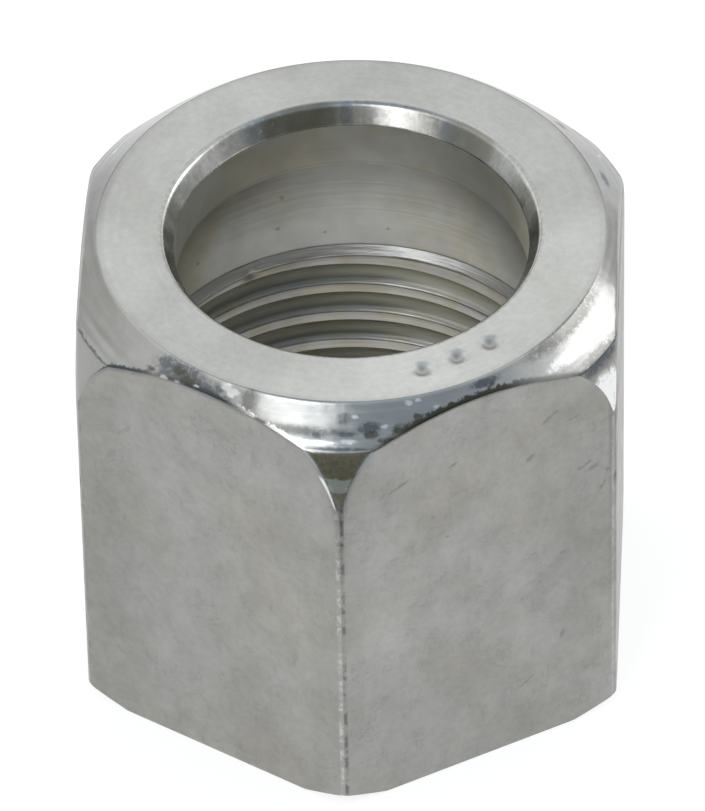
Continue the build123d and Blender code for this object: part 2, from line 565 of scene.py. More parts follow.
# Painted light and shade on the bore and countersink, from left to right across the nut. A hill has its
# middle, half width and amount; a slope has where it starts, where it ends and its amount.
BORE_HILLS = [(-3.4, 2.0, -0.05), (1.0, 2.5, 0.14)]
BORE_SLOPES = [(-3.0, -7.0, 0.18), (1.5, 3.1, 0.30), (4.0, 6.4, 0.34), (6.3, 6.9, 0.40)]
BACK_SUNK_HILLS = [
    (2.6, 2.4, 0.20), (-0.6, 1.5, 0.28), (-3.3, 1.3, 0.25), (4.7, 1.1, -0.20), (-5.2, 1.2, -0.14),
]
SIDE_SUNK_SLOPES = [(4.5, 7.0, 0.45), (6.5, 7.1, 0.50)]

# The front corner's run-out, where light and shade are painted: half its angle in degrees, and how far it
# reaches below the chamfer
FRONT_HALF_ANGLE = 12
FRONT_REACH = 4.0


def hills(value, table):
    """The sum of several hills along a line."""
    return sum(amount * bump_of((value - middle) / half) for middle, half, amount in table)


def slopes(value, table):
    """The sum of several slopes along a line."""
    return sum(amount * ramp(value, start, stop) for start, stop, amount in table)


def turned_off(bearings, bearing):
    """How far bearings lie from one bearing, in degrees from -180 to 180."""
    return (bearings - bearing + 180) % 360 - 180


def round_mark(bearings, radii, mark):
    """One mark on a turned surface, from its bearing, radius, half length and half width."""
    bearing, radius, length, width = mark
    across = radians(1) * turned_off(bearings, bearing) * radius / length
    return bump_of(np.hypot(across, (radii - radius) / width))


def areas_tone(bearings, radii, areas):
    """How much lighter or darker a turned surface is where its broad areas lie."""
    return 1 + sum(amount * round_mark(bearings, radii, mark) for *mark, amount in areas)


def flat_tone(points):
    """How much lighter or darker the flats are at each point, by painted light and shade."""
    tone = np.ones(len(points))
    for bearing, across, level, width, height, amount in FLAT_AREAS:
        off = (points @ direction(bearing + 90) - across) / width
        near = bump_of(np.hypot(off, (points[:, 2] - level) / height))
        tone += amount * near * (points @ direction(bearing) > FLAT - SURFACE_REACH)
    return tone


def face_tone(bearings, radii):
    """How much lighter or darker the top face is at each point, and its duller outer rim."""
    rim = 1 - RIM_DULLNESS * ramp(radii, LAND - RIM_WIDTH, LAND)
    return areas_tone(bearings, radii, FACE_AREAS) * rim


def chamfer_tone(bearings, radii):
    """The chamfer's painted light and shade, with a painted highlight on its rolled inner edge at the
    front.
    """
    rolled = ramp(radii, LAND + LAND_ROLL, LAND + 2 * TOUCH)
    aside = ramp(np.abs(turned_off(bearings, 0)), *ROLLED_BEARINGS)
    return areas_tone(bearings, radii, CHAMFER_AREAS) + rolled * (ROLLED_HIGHLIGHT - ROLLED_LOSS * aside)


def recess_tone(across, level):
    """The sleeve recess: painted light to the right, painted shade high up and at both sides."""
    right = ramp(across, -3.0, 4.0)
    side = ramp(np.abs(across), 1.5, 6.5)
    far_side = ramp(np.abs(across), 5.0, 6.6)
    loss = np.where(across > 0, RECESS_RIGHT_LOSS, RECESS_LEFT_LOSS)
    tone = RECESS_BASE * (1 + RECESS_GAIN * right) * (1 - side * loss)
    tone *= 1 - ramp(level, 13.0, 16.4) * (0.08 + 0.50 * side)
    tone *= 1 - 0.20 * ramp(level, 14.4, 16.0) * (1 - side)
    tone *= 1 + 0.24 * ramp(level, 12.6, 13.4) * far_side
    tone *= 1 + 0.15 * bump_of((across - 4.2) / 3.0) * bump_of((level - 14.8) / 2.0)
    return tone * (1 - 0.07 * ramp(level, 13.0, 12.2) * (across < 4.5))


def bore_tone(across, level):
    """The bore's painted light: paler to the right and at the far left, and a little paler towards its
    lower edge.
    """
    tone = 1.13 + hills(across, BORE_HILLS) + slopes(across, BORE_SLOPES)
    return tone * (1 + 0.10 * ramp(level, 19.0, 18.2) * ramp(np.abs(across), 6.0, 3.0))


def countersink_tone(across, at_back):
    """Painted light and shade on the countersink: pale at both sides, paler and duller stretches along its
    back.
    """
    return 1 + slopes(np.abs(across), SIDE_SUNK_SLOPES) + hills(across, BACK_SUNK_HILLS) * at_back


def inside_tone(points):
    """The inside's painted light and shade, from the recess up through the bore to the countersink."""
    across, level = points[:, 0], points[:, 2]
    in_bore = level > SHOULDER_LEVEL - EDGE_REACH
    tone = np.where(in_bore, bore_tone(across, level), recess_tone(across, level))
    tone *= 1 - SHOULDER_SHADE * ramp(np.abs(level - SHOULDER_MIDDLE), SHOULDER_REACH, 0)
    tone = np.where(level > SUNK_LEVEL - TOUCH, countersink_tone(across, points[:, 1] > 0), tone)
    return tone * np.where(np.abs(level - SUNK_LEVEL) < SUNK_FOOT_REACH, SUNK_FOOT_GAIN, 1)


def wear_and_light_layers(points):
    """The layers of wear, tone, and painted light and shade that the materials read, as one value for each
    vertex.
    """
    level = points[:, 2]
    angles = np.arctan2(points[:, 1], points[:, 0])
    bearings = np.degrees(angles) + 90
    radii = np.hypot(points[:, 0], points[:, 1])
    over_edge = level - lower_edge(bar_radius(angles))
    on_face = (level > HEIGHT - SURFACE_REACH) & (radii > COUNTERSINK) & (radii < LAND + TOUCH)
    on_chamfer = (radii > LAND + TOUCH) & (over_edge > -2 * TOUCH)
    tone = np.where(radii > LAND - EDGE_REACH, flat_tone(points), inside_tone(points))
    tone = np.where(on_face, face_tone(bearings, radii), tone)
    tone = np.where(on_chamfer, chamfer_tone(bearings, radii), tone)
    off_corner = ((angles + pi / 2 + pi / 6) % (pi / 3) - pi / 6) * CORNER
    in_front = np.abs(turned_off(bearings, 0)) < FRONT_HALF_ANGLE
    front_runout = (in_front & (level > CHAMFER_LEVEL - FRONT_REACH)).astype(float)
    layers = {"tone": tone, "over_edge": over_edge, "off_corner": off_corner}
    layers["front_runout"] = front_runout
    for name, marks in STAINS_AND_HIGHLIGHTS.items():
        layers[name] = np.max([round_mark(bearings, radii, mark) for mark in marks], axis=0)
    for name, stretches in EDGE_STRETCHES.items():
        off = [np.abs(turned_off(bearings, bearing)) / half for bearing, half in stretches]
        layers[name] = ramp(np.min(off, axis=0), 1.0, 0.5)
    return layers


# ---- materials
class Nodes:
    """A node tree, with one short call for each kind of node in it."""

    def __init__(self, tree):
        self.tree = tree

    def add(self, kind, inputs=None, **settings):
        """A node with its settings, and its inputs set or linked."""
        node = self.tree.nodes.new(kind)
        for key, value in settings.items():
            setattr(node, key, value)
        for key, value in (inputs or {}).items():
            if isinstance(value, bpy.types.NodeSocket):
                self.tree.links.new(value, node.inputs[key])
            else:
                node.inputs[key].default_value = value
        return node

    def math(self, operation, a, b=0.0):
        return self.add("ShaderNodeMath", {0: a, 1: b}, operation=operation).outputs[0]

    def vector(self, operation, inputs):
        return self.add("ShaderNodeVectorMath", inputs, operation=operation).outputs

    def parts(self, vector):
        """The X, Y and Z of a vector."""
        return self.add("ShaderNodeSeparateXYZ", {0: vector}).outputs

    def times(self, product, *factors):
        """The product of several factors."""
        for factor in factors:
            product = self.math("MULTIPLY", product, factor)
        return product

    def most(self, result, *factors):
        """The greatest of several factors."""
        for factor in factors:
            result = self.math("MAXIMUM", result, factor)
        return result

    def step(self, value, low, high, to_low=0.0, to_high=1.0):
        """A smooth step, from one value to another as the input goes from low to high."""
        inputs = {"Value": value, "From Min": low, "From Max": high, "To Min": to_low, "To Max": to_high}
        return self.add("ShaderNodeMapRange", inputs, interpolation_type="SMOOTHSTEP").outputs[0]

    def between(self, value, low, high, soft):
        """One while a value lies between two limits, which are soft."""
        from_low = self.step(value, low - soft, low + soft)
        return self.times(from_low, self.step(value, high + soft, high - soft))

    def mix(self, factor, a, b):
        """One colour turning into another as the factor goes from nought to one."""
        a, b = (c if isinstance(c, bpy.types.NodeSocket) else (*c, 1) for c in (a, b))
        return self.add("ShaderNodeMix", {0: factor, 6: a, 7: b}, data_type="RGBA").outputs[2]

    def scaled(self, vector, factor):
        """A colour or a place times a number."""
        return self.vector("SCALE", {0: vector, "Scale": factor})[0]


class Look(Nodes):
    """A metal's material. Its colour is painted and shaded in turn, and linked at the end."""

    def __init__(self, name):
        self.material = bpy.data.materials.new(name)
        self.material.use_nodes = True
        super().__init__(self.material.node_tree)
        self.shader = self.tree.nodes["Principled BSDF"]
        self.shader.inputs["Metallic"].default_value = 1
        self.place = self.scaled(self.add("ShaderNodeTexCoord").outputs["Object"], 1 / MM)
        self.across, _, self.level = self.parts(self.place)
        from_axis = self.vector("MULTIPLY", {0: self.place, 1: (1, 1, 0)})[0]
        self.radius = self.vector("LENGTH", {0: from_axis})["Value"]
        self.fine = self.noise(3.0, 4.0, 0.7)
        self.coarse = self.noise(0.8)
        self.colour = None

    def stretched(self, scale, turn):
        """The place, scaled by axis and turned, so that noise runs along one direction."""
        inputs = {"Vector": self.place, "Rotation": turn, "Scale": scale}
        return self.add("ShaderNodeMapping", inputs).outputs[0]

    def noise(self, scale, detail=2.0, roughness=0.5, place=None):
        inputs = {"Vector": place or self.place, "Scale": scale, "Detail": detail, "Roughness": roughness}
        return self.add("ShaderNodeTexNoise", inputs).outputs["Fac"]

    def along_turns(self, radial, around, vertical):
        """A place whose noise runs round the axis: radius, direction about the axis, and level."""
        x, y, z = self.parts(self.place)
        turn = self.math("ABSOLUTE", self.math("ARCTAN2", y, x))
        pairs = zip("XYZ", (self.radius, turn, z), (radial, around, vertical))
        inputs = {key: self.times(value, scale) for key, value, scale in pairs}
        return self.add("ShaderNodeCombineXYZ", inputs).outputs[0]

    def vary(self, noise, low, high):
        """A noise's usual span, spread between two values."""
        return self.step(noise, 0.3, 0.7, low, high)

    def ragged(self, value, amount):
        """A value that the fine noise moves up and down."""
        return self.math("ADD", value, self.vary(self.fine, -amount, amount))

    def layer(self, name):
        return self.add("ShaderNodeAttribute", attribute_name=name).outputs["Fac"]

    def mark(self, centre, half, turn=(0, 0, 0)):
        """One inside a small ellipsoid, fading to nothing at its ragged outline."""
        inputs = {"Vector": self.place, "Location": tuple(centre), "Rotation": turn, "Scale": half}
        local = self.add("ShaderNodeMapping", inputs, vector_type="TEXTURE").outputs[0]
        away = self.vector("LENGTH", {0: local})["Value"]
        return self.step(self.math("ADD", away, self.step(self.fine, 0.2, 0.8, -0.4, 0.4)), 1.0, 0.4)

    def shade(self, *factors):
        """Makes the colour lighter or darker by the product of the factors."""
        self.colour = self.scaled(self.colour, self.times(*factors))

    def paint(self, colour, *factors):
        """Covers the colour with another as far as the product of the factors goes."""
        self.colour = self.mix(self.times(*factors), self.colour, colour)

    def finish(self, roughness, bumps):
        """Links the colour and roughness, and adds each bump, given as a height and its depth in mm."""
        self.tree.links.new(self.colour, self.shader.inputs["Base Color"])
        self.tree.links.new(roughness, self.shader.inputs["Roughness"])
        normal = None
        for height, depth in bumps:
            bump = self.add("ShaderNodeBump", {"Height": height, "Distance": depth * MM})
            if normal is not None:
                self.tree.links.new(normal, bump.inputs["Normal"])
            normal = bump.outputs[0]
        self.tree.links.new(normal, self.shader.inputs["Normal"])
        return self.material


# Bare metal: each surface drifts between two tones
FLAT_TONES = (0.318, 0.312, 0.290), (0.338, 0.337, 0.326)
FACE_TONES = (0.500, 0.501, 0.488), (0.538, 0.543, 0.531)
CHAMFER_TONES = (0.415, 0.417, 0.405), (0.445, 0.45, 0.445)
WALL_TONES = (0.43, 0.43, 0.41), (0.42, 0.407, 0.345)
SUNK_TONES = (0.42, 0.422, 0.41), (0.47, 0.475, 0.47)
CREST_TONES = (0.385, 0.38, 0.36), (0.36, 0.345, 0.285)

# The thread's flanks, with painted light to the right and painted shade to the left, its root, and its
# lead-in cone's painted highlight
FLANK_TONES = (0.60, 0.59, 0.53), (0.125, 0.12, 0.090)
ROOT_TONE = (0.51, 0.50, 0.41)
LEAD_IN_HIGHLIGHT = (1.0, 0.995, 0.97)

# The front run-out's painted light and shade: below the chamfer, at its foot, in its pale blue band of
# painted reflection, and at its sides
RUNOUT_TONE = (0.40, 0.40, 0.32)
RUNOUT_FOOT_TONE = (0.56, 0.56, 0.46)
RUNOUT_BAND_TONE = (0.86, 0.96, 1.0)
RUNOUT_SIDE_TONE = (0.34, 0.39, 0.44)

# Tarnish, oil, bright and scraped metal, and painted highlight and painted shade
OLIVE = (0.10, 0.10, 0.08)
SLATE = (0.11, 0.125, 0.145)
DULL = (0.18, 0.18, 0.17)
PALE = (0.85, 0.86, 0.86)
BRIGHT = (0.95, 0.95, 0.94)
CREASE = (0.21, 0.215, 0.21)
SCRAPED = (0.165, 0.17, 0.165)
# Painted highlight to the left of each corner, and painted shade to its right
CORNER_HIGHLIGHT = (0.52, 0.52, 0.51)
CORNER_SHADE = (0.14, 0.145, 0.15)
EDGE_SLATE = (0.20, 0.215, 0.23)
DIMPLE = (0.26, 0.265, 0.26)
FLECK = (0.26, 0.265, 0.255)
RUNOUT_GREY = (0.27, 0.27, 0.26)
SPOT = (0.12, 0.12, 0.11)
SUNK_BLUE = (0.30, 0.34, 0.38)
SUNK_OIL = (0.26, 0.26, 0.215)

# The flats, and the two of them that meet in the front corner
FLAT_BEARINGS = [30, 90, 150, -150, -90, -30]
RIGHT_FLAT, LEFT_FLAT = 30, -30

# How strongly scrapes, and the painted highlight and painted shade beside the corners, show on one of the
# two front flats, and on the others
LEFT_SCRAPES, SCRAPES_ELSEWHERE = 0.22, 0.5
LEFT_HIGHLIGHT, HIGHLIGHT_ELSEWHERE = 0.9, 0.4
RIGHT_SHADE, SHADE_ELSEWHERE = 0.9, 0.5

# Scrapes on the flats, by the flat's bearing: across, level, half length, half width, tilt
SCRAPES = {
    30: [
        (-3.6, 16.95, 0.85, 0.1, 22), (-1.15, 17.07, 0.3, 0.08, 22), (4.42, 17.23, 0.5, 0.07, 10),
        (3.27, 17.74, 0.6, 0.16, 34), (2.35, 15.88, 0.5, 0.14, 40), (4.88, 14.36, 0.5, 0.13, 28),
        (-2.1, 14.6, 0.16, 0.12, 0), (-1.47, 13.2, 0.15, 0.12, 0), (3.81, 9.95, 0.16, 0.1, 30),
        (5.7, 12.9, 0.35, 0.08, 60), (2.2, 3.4, 0.5, 0.07, 35), (3.8, 5.34, 0.3, 0.14, 85),
        (5.3, 14.1, 0.35, 0.14, 20), (5.9, 13.7, 0.25, 0.16, -30),
    ],
    -30: [
        (-3.93, 16.27, 0.8, 0.14, 48), (-4.73, 14.48, 0.6, 0.14, 52), (1.42, 17.62, 0.17, 0.12, 0),
        (-5.45, 12.33, 0.18, 0.13, 0), (0.56, 12.91, 0.18, 0.12, 0), (-0.63, 0.45, 0.18, 0.16, 60),
        (0.11, 0.6, 0.2, 0.16, 60), (-5.21, 5.57, 0.2, 0.14, 0), (-4.7, 3.61, 0.55, 0.14, -55),
    ],
    90: [(2.5, 6, 0.7, 0.1, -30), (-3, 14, 0.3, 0.12, 10), (0.5, 11.5, 0.5, 0.08, 50)],
    -90: [(-2, 9, 0.8, 0.12, 40), (3, 14, 0.5, 0.1, 20), (1, 4, 0.4, 0.1, -20)],
    150: [(1, 12, 0.7, 0.1, 25), (-3, 6, 0.5, 0.12, 50)],
    -150: [(-1, 14.5, 0.6, 0.1, 20), (3, 5, 0.5, 0.12, 50)],
}

# Small dark spots in the recess: bearing, level, radius
WALL_SPOTS = [
    (228.7, 13.16, 0.16), (201.8, 14.77, 0.15), (203.2, 13.1, 0.12), (190.3, 12.45, 0.1),
    (173.4, 12.61, 0.12), (80, 14, 0.14), (330, 14.5, 0.13),
]

# Levels on the front run-out: its pale blue band of painted reflection, a fine tool line, and its left
# border with a painted highlight
RUNOUT_BAND = (17.62, 18.25)
RUNOUT_LINE = (16.88, 16.97)
HIGHLIGHT_TOP = (18.4, 18.1)
HIGHLIGHT_FOOT = (16.6, 17.0)


def flat_mark(look, bearing, across, level, length, width, tilt):
    """A mark on a flat, its length tilted up by an angle in degrees."""
    side = direction(bearing + 90)
    along = Vector(cos(radians(tilt)) * side + sin(radians(tilt)) * np.array([0, 0, 1]))
    out = Vector(direction(bearing))
    turn = tuple(Matrix((along, out.cross(along), out)).transposed().to_euler())
    return look.mark(place_at(bearing, FLAT, level) + across * side, (length, width, 1.0), turn)


def corner_highlight_and_shade(look, bearing):
    """Each corner has a painted highlight to its left and painted shade to its right, most of all at the
    front.
    """
    off = look.layer("off_corner")
    specks = look.noise(1.5, 3.0, 0.75)
    highlight_strength = LEFT_HIGHLIGHT if bearing == LEFT_FLAT else HIGHLIGHT_ELSEWHERE
    highlight_mask = look.step(specks, 0.48, 0.60, 0.15, highlight_strength)
    # Painted highlight to the left of the corner, broken by specks
    look.paint(CORNER_HIGHLIGHT, look.step(off, -0.22, -0.12), look.step(off, 0.02, -0.05), highlight_mask)
    shade_strength = RIGHT_SHADE if bearing == RIGHT_FLAT else SHADE_ELSEWHERE
    dark = look.step(specks, 0.53, 0.42, 0.2, shade_strength)
    # Painted shade to the right of the corner, broken by specks
    look.paint(CORNER_SHADE, look.step(off, 0.0, 0.05), look.step(off, 0.22, 0.12), dark)


def upper_edge_slate_and_highlight(look):
    """A slate line on the flats just below the chamfer, and a painted highlight on the front run-out's left
    border.
    """
    edge = look.layer("over_edge")
    slate = look.between(look.ragged(edge, 0.08), -0.15, 0.1, 0.04)
    look.paint(EDGE_SLATE, slate, look.layer("slate_edge"), 0.6)
    left = look.step(look.layer("off_corner"), 0.1, -0.1)
    height = look.times(look.step(look.level, *HIGHLIGHT_TOP), look.step(look.level, *HIGHLIGHT_FOOT))
    # Painted highlight on the front run-out's left border
    look.paint(BRIGHT, look.layer("front_runout"), left, look.step(edge, -0.33, -0.20), height, 0.9)


def flat_look(bearing):
    """A drawn and plated flat: satin grey, mottled and stained, with a few scrapes."""
    look = Look("zinc_flat_%d" % (bearing % 360))
    look.colour = look.mix(look.step(look.noise(0.22), 0.35, 0.65), *FLAT_TONES)
    cloud = look.noise(0.75, 3.0, 0.6, look.stretched((1, 1, 0.7), (0, 0, 0.4)))
    streak = look.noise(1.0, 2.0, 0.6, look.stretched((2.2, 2.2, 0.55), (0.5, 0.5, 0)))
    streak = look.step(look.step(streak, 0.62, 0.74), 0, 1, 1.0, 0.93)
    mottle = look.times(look.vary(cloud, 0.94, 1.05), look.vary(look.fine, 0.95, 1.05))
    # The tone layer carries the flats' painted light and shade
    look.shade(look.layer("tone"), mottle, streak)
    crease = look.math("ABSOLUTE", look.math("SUBTRACT", look.noise(1.1, 3.0, 0.65), 0.5))
    look.paint(CREASE, look.step(crease, 0.03, 0.0), look.step(look.coarse, 0.46, 0.62), 0.30)
    scrape = look.most(*[flat_mark(look, bearing, *mark) for mark in SCRAPES[bearing]])
    look.paint(SCRAPED, scrape, LEFT_SCRAPES if bearing == LEFT_FLAT else SCRAPES_ELSEWHERE)
    corner_highlight_and_shade(look, bearing)
    upper_edge_slate_and_highlight(look)
    return look.finish(look.vary(look.coarse, 0.30, 0.42), [(look.fine, 0.006), (look.coarse, 0.012)])


def face_look():
    """The turned top face: pale satin with faint rings, darker in the punch dimples."""
    look = Look("zinc_face")
    look.colour = look.mix(look.step(look.noise(0.30, 3.0), 0.38, 0.62), *FACE_TONES)
    rings = look.noise(1.0, 3.0, 0.6, look.along_turns(9.0, 0.5, 0.0))
    mottle = look.times(look.vary(rings, 0.975, 1.025), look.vary(look.fine, 0.95, 1.05))
    look.shade(mottle, look.vary(look.coarse, 0.98, 1.02), look.layer("tone"))
    look.paint(DIMPLE, look.step(look.level, HEIGHT - 0.02, HEIGHT - 0.14), 0.55)
    return look.finish(look.vary(look.coarse, 0.34, 0.44), [(rings, 0.004), (look.fine, 0.003)])


def chamfer_stains_and_highlights(look, grain):
    """The chamfer's stains and its painted highlights at the corner at 60 degrees, with outlines torn by
    the grain.
    """
    torn = look.times(look.vary(grain, 0.5, 1.5), look.vary(look.coarse, 0.8, 1.2))
    for name, colour, low, high, strength in (
        ("dull", DULL, 0.0, 0.90, 0.85),
        ("slate", SLATE, 0.05, 0.80, 0.85),
        ("olive", OLIVE, 0.10, 0.80, 0.85),
        ("pale", PALE, 0.05, 0.60, 0.9),
    ):
        look.paint(colour, look.step(look.times(look.layer(name), torn), low, high), strength)


def runout_light_and_wear(look, grain, level, edge, below):
    """The front run-out has a pale blue band of painted reflection between parts with painted shade, and
    the others a slate rim.
    """
    front = look.layer("front_runout")
    grained = look.step(grain, 0.35, 0.65, 0.84, 1.18)
    # Painted shade over the front run-out below the chamfer, paler at its foot
    look.paint(look.scaled(RUNOUT_TONE, grained), below, front)
    foot = look.step(level, RUNOUT_BAND[0], RUNOUT_BAND[0] - 0.05)
    look.paint(look.scaled(RUNOUT_FOOT_TONE, grained), foot, front)
    rim = look.between(level, CHAMFER_LEVEL - 0.05, CHAMFER_LEVEL + 0.03, 0.02)
    look.paint(SLATE, rim, look.step(front, 1, 0), 0.6)
    # A pale blue band of painted reflection across the front run-out
    look.paint(RUNOUT_BAND_TONE, look.between(level, *RUNOUT_BAND, 0.05), front)
    look.paint(PALE, look.between(level, *RUNOUT_LINE, 0.04), front)
    # Painted blue-grey shade along the front run-out's sides
    look.paint(RUNOUT_SIDE_TONE, below, front, look.step(edge, 0.34, 0.16), 0.8)


def chamfer_look():
    """The turned chamfer and run-outs: glossy, streaked round the axis, stained and specked."""
    look = Look("zinc_chamfer")
    streak = look.noise(1.0, 3.0, 0.6, look.along_turns(3.0, 2.0, 3.0))
    grain = look.noise(5.0, 4.0, 0.75)
    level = look.ragged(look.level, 0.05)
    edge = look.ragged(look.layer("over_edge"), 0.06)
    below = look.step(level, CHAMFER_LEVEL + 0.02, CHAMFER_LEVEL - 0.10)
    look.colour = look.mix(look.step(look.coarse, 0.35, 0.65), *CHAMFER_TONES)
    look.shade(look.vary(streak, 0.96, 1.04))
    look.paint(FLECK, look.step(look.fine, 0.58, 0.70), 0.15)
    look.paint(RUNOUT_GREY, below, 0.7)
    chamfer_stains_and_highlights(look, grain)
    # The tone layer carries the chamfer's painted light and shade
    look.shade(look.layer("tone"))
    runout_light_and_wear(look, grain, level, edge, below)
    near = look.between(edge, -0.1, 0.12, 0.03)
    look.paint(SLATE, near, look.layer("slate_edge"))
    look.paint(OLIVE, look.between(edge, -0.1, 0.17, 0.04), look.layer("dark_edge"))
    broken = look.times(look.step(look.coarse, 0.44, 0.50), look.layer("pale_edge"))
    look.paint(BRIGHT, near, broken, 0.8)
    bumps = [(streak, 0.003), (look.coarse, 0.018), (look.fine, 0.0015)]
    return look.finish(look.vary(streak, 0.18, 0.28), bumps)


def wall_look():
    """The bore and the sleeve recess: satin, warm in patches, with small dark spots."""
    look = Look("zinc_wall")
    look.colour = look.mix(look.step(look.noise(0.28), 0.42, 0.60), *WALL_TONES)
    # The tone layer carries the painted light and shade of the bore and recess
    look.shade(look.layer("tone"), look.vary(look.coarse, 0.94, 1.06))
    places = [(place_at(bearing, RELIEF_RADIUS, level), (size,) * 3) for bearing, level, size in WALL_SPOTS]
    look.paint(SPOT, look.most(*[look.mark(*place) for place in places]), 0.45)
    rings = look.noise(1.0, 2.0, 0.6, look.along_turns(0.0, 0.6, 5.0))
    roughness = look.step(look.level, SHOULDER_LEVEL - 0.3, SHOULDER_LEVEL + 0.1, 0.38, 0.48)
    return look.finish(roughness, [(rings, 0.006), (look.fine, 0.003)])


def thread_look():
    """The cut thread: grooves with painted shade to the left and painted light to the right, torn finely
    along the cut.
    """
    look = Look("zinc_thread")
    look.colour = look.mix(look.step(look.coarse, 0.4, 0.6), *CREST_TONES)
    # Painted shade on the crests to the left and painted light to the right
    look.shade(look.step(look.across, -3.2, -1.4, 0.76, 1.0), look.step(look.across, -0.8, 1.6, 1.0, 1.22))
    in_thread = look.step(look.level, THREAD_TOP, THREAD_TOP - 0.15)
    in_groove = look.times(look.step(look.radius, MINOR + 0.05, MINOR + 0.30), in_thread)
    # Painted light on the flanks to the right and painted shade to the left
    flank = look.mix(look.step(look.across, 3.6, 0.2), *FLANK_TONES)
    deep = look.step(look.radius, MINOR + 0.12, MINOR + 0.60)
    look.paint(look.mix(deep, flank, ROOT_TONE), in_groove)
    in_cone = look.step(look.level, THREAD_TOP - 0.02, THREAD_TOP + 0.06)
    # A painted highlight on the lead-in cone, brighter to the right
    look.paint(look.scaled(LEAD_IN_HIGHLIGHT, look.step(look.across, -2.5, 1.5, 0.57, 0.88)), in_cone)
    tear = look.noise(1.0, 4.0, 0.7, look.along_turns(4.0, 2.0, 6.0))
    look.shade(look.vary(tear, 0.88, 1.10))
    climb = look.math("MINIMUM", look.math("SUBTRACT", THREAD_TOP, look.level), 0.0)
    worn_over = look.times(look.step(look.across, 0.0, 2.0), look.step(look.across, 6.4, 2.8), climb)
    roughness = look.step(look.level, THREAD_TOP - 0.05, THREAD_TOP + 0.1, 0.36, 0.46)
    roughness = look.most(roughness, look.times(in_groove, 0.60))
    torn = look.times(tear, look.step(in_cone, 0, 1, 1.0, 5.0))
    return look.finish(roughness, [(torn, 0.010), (look.fine, 0.004), (worn_over, 0.30)])


def countersink_look():
    """The small cone at the bore's rim: bright, with short streaks, dark and blue in places."""
    look = Look("zinc_countersink")
    streak = look.noise(1.0, 2.0, 0.6, look.along_turns(0.3, 14.0, 0.3))
    grain = look.noise(4.5, 4.0, 0.75)
    torn = look.step(grain, 0.25, 0.75, 0.5, 1.5)
    slate, olive = look.layer("slate"), look.layer("olive")
    look.colour = look.mix(look.step(streak, 0.35, 0.65), *SUNK_TONES)
    # The tone layer carries the countersink's painted light and shade
    look.shade(look.layer("tone"))
    look.shade(look.vary(grain, 0.86, 1.14))
    look.paint(SUNK_BLUE, look.step(look.times(slate, torn), 0.10, 0.6), 0.7)
    look.paint(SUNK_OIL, look.step(look.times(olive, torn), 0.05, 0.6), 0.72)
    look.paint(PALE, look.step(grain, 0.57, 0.64), slate, 0.8)
    return look.finish(look.vary(look.coarse, 0.20, 0.30), [(look.coarse, 0.008)])


# ---- build
def add_object(name, data):
    """A new object in the scene."""
    made = bpy.data.objects.new(name, data)
    bpy.context.scene.collection.objects.link(made)
    return made


def material_number(face, finish, points):
    """The material's number for a face: each flat has its own, after the turned surfaces."""
    if finish != FLATS:
        return finish
    middle = points[list(face)].mean(0)
    bearing = np.degrees(np.arctan2(middle[1], middle[0])) + 90
    return FLATS + int((bearing % 360) // 60)


def build_nut():
    """The nut's mesh, with a material for each face and its wear and painted light and shade as attributes.
    """
    skin = Skin(column_angles())
    first = top_and_outside(skin)
    mouth(skin)
    helix(skin)
    recess_and_bore(skin, first)
    plain = np.array(skin.points, float)
    mesh = bpy.data.meshes.new("swivel_nut_dressed")
    mesh.from_pydata([tuple(p) for p in worn(plain) * MM], [], skin.faces)
    numbers = [material_number(face, finish, plain) for face, finish in zip(skin.faces, skin.finishes)]
    mesh.polygons.foreach_set("material_index", numbers)
    mesh.polygons.foreach_set("use_smooth", [True] * len(skin.faces))
    for name, values in wear_and_light_layers(plain).items():
        mesh.attributes.new(name, "FLOAT", "POINT").data.foreach_set("value", values)
    joined = bmesh.new()
    joined.from_mesh(mesh)
    bmesh.ops.remove_doubles(joined, verts=joined.verts, dist=1e-7)
    joined.to_mesh(mesh)
    joined.free()
    nut = add_object("swivel_nut_dressed", mesh)
    nut.modifiers.new("normals", "WEIGHTED_NORMAL").weight = 50
    return nut


nut = build_nut()
for make in (face_look, chamfer_look, thread_look, wall_look, countersink_look):
    nut.data.materials.append(make())
for bearing in FLAT_BEARINGS:
    nut.data.materials.append(flat_look(bearing))
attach(nut, "root")
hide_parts("swivel_nut")


# ---- camera
def add_camera():
    """The camera, which looks down at a point just beside the nut's axis."""
    data = bpy.data.cameras.new("camera")
    data.sensor_fit = "HORIZONTAL"
    data.sensor_width = CAMERA_SENSOR
    data.lens = CAMERA_LENS
    data.clip_start = 0.01
    data.clip_end = 20
    camera = add_object("camera", data)
    aim = Vector((CAMERA_AIM_SIDE, 0, CAMERA_AIM_HEIGHT)) * MM
    camera.matrix_world = (
        Matrix.Rotation(CAMERA_AZIMUTH, 4, "Z")
        @ Matrix.Translation(aim)
        @ Matrix.Rotation(pi / 2 - CAMERA_ELEVATION, 4, "X")
        @ Matrix.Rotation(CAMERA_ROLL, 4, "Z")
        @ Matrix.Translation((0, 0, CAMERA_DISTANCE * MM))
    )
    bpy.context.scene.camera = camera


# ---- studio
# The studio's sizes are in metres. Soft boxes: azimuth, elevation, width, height, radiance
SOFTBOXES = {
    "key_softbox": (-27, 36, 0.20, 0.46, 2.9),
    "low_softbox": (-42, 14, 0.16, 0.12, 0.9),
    "side_softbox": (107, 25, 0.26, 0.22, 2.15),
}
SOFTBOX_DISTANCE = 0.6

# The dark card: its distance from the nut's axis, its left and right, its foot and top
FLAG_DISTANCE = 0.020
FLAG_SIDES = (-0.0068, 0.0038)
FLAG_LEVELS = (0.009, 0.022)
FLAG_COLOUR = (0.36, 0.36, 0.32, 1)

